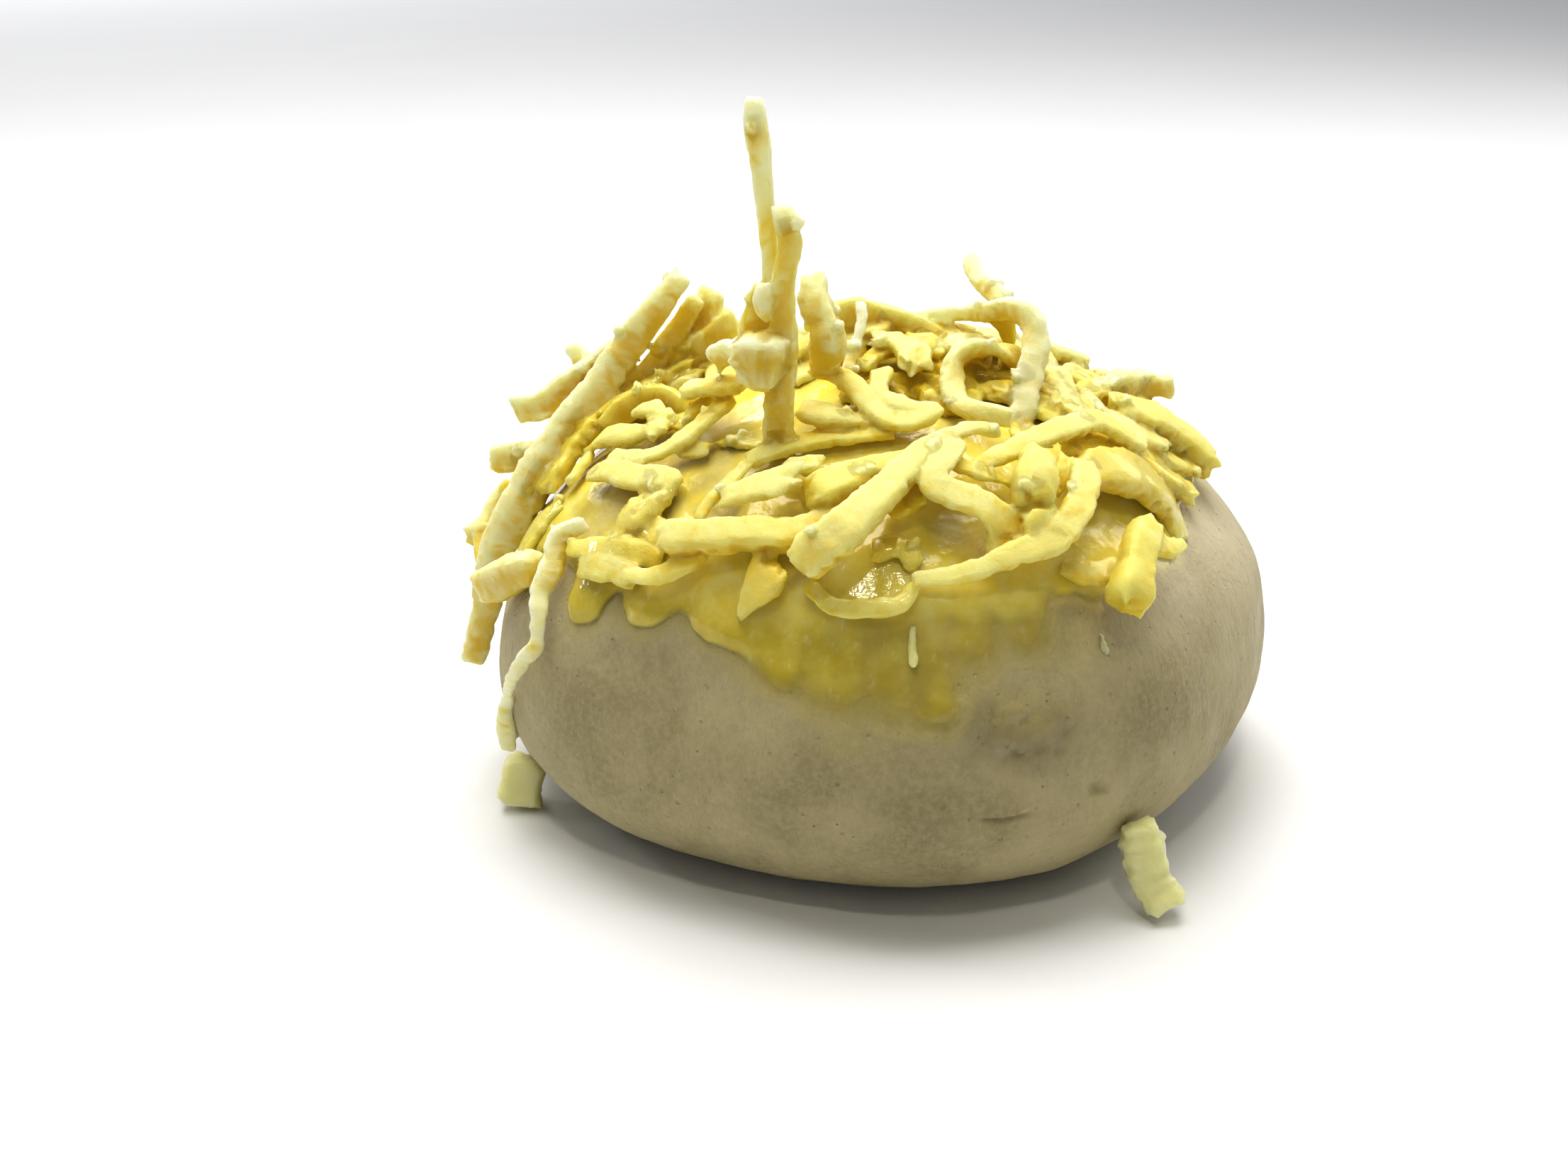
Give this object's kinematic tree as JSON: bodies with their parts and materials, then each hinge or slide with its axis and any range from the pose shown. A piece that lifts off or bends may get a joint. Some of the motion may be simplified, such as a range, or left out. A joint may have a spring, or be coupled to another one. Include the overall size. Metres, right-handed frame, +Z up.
{
  "type": "cheese-topped dough ball",
  "caption": "Ball of raw bread dough with a flat foot, brushed with egg wash that runs down in lobes, under a loose heap of coarsely grated cheese.",
  "frame": {"origin": "middle of the flat foot that the dough rests on, under the middle of the ball", "axes": "+Z up, +X to the right and -Y towards the camera as the picture shows it"},
  "size_m": [0.0904, 0.0742, 0.0771],
  "materials": {
    "dough": "raw bread dough, greyish beige, satin, finely pored with small dark flecks",
    "egg_wash": "wet translucent egg wash, yellow, glossy",
    "cheese": "coarsely grated semi-hard cheese, pale yellow, waxy and slightly translucent"
  },
  "bodies": {
    "root": {"dough": "dough", "egg_wash": "egg_wash", "cheese": "cheese", "foot_shred_left": "cheese", "foot_shred_right": "cheese"}
  },
  "joints": []
}
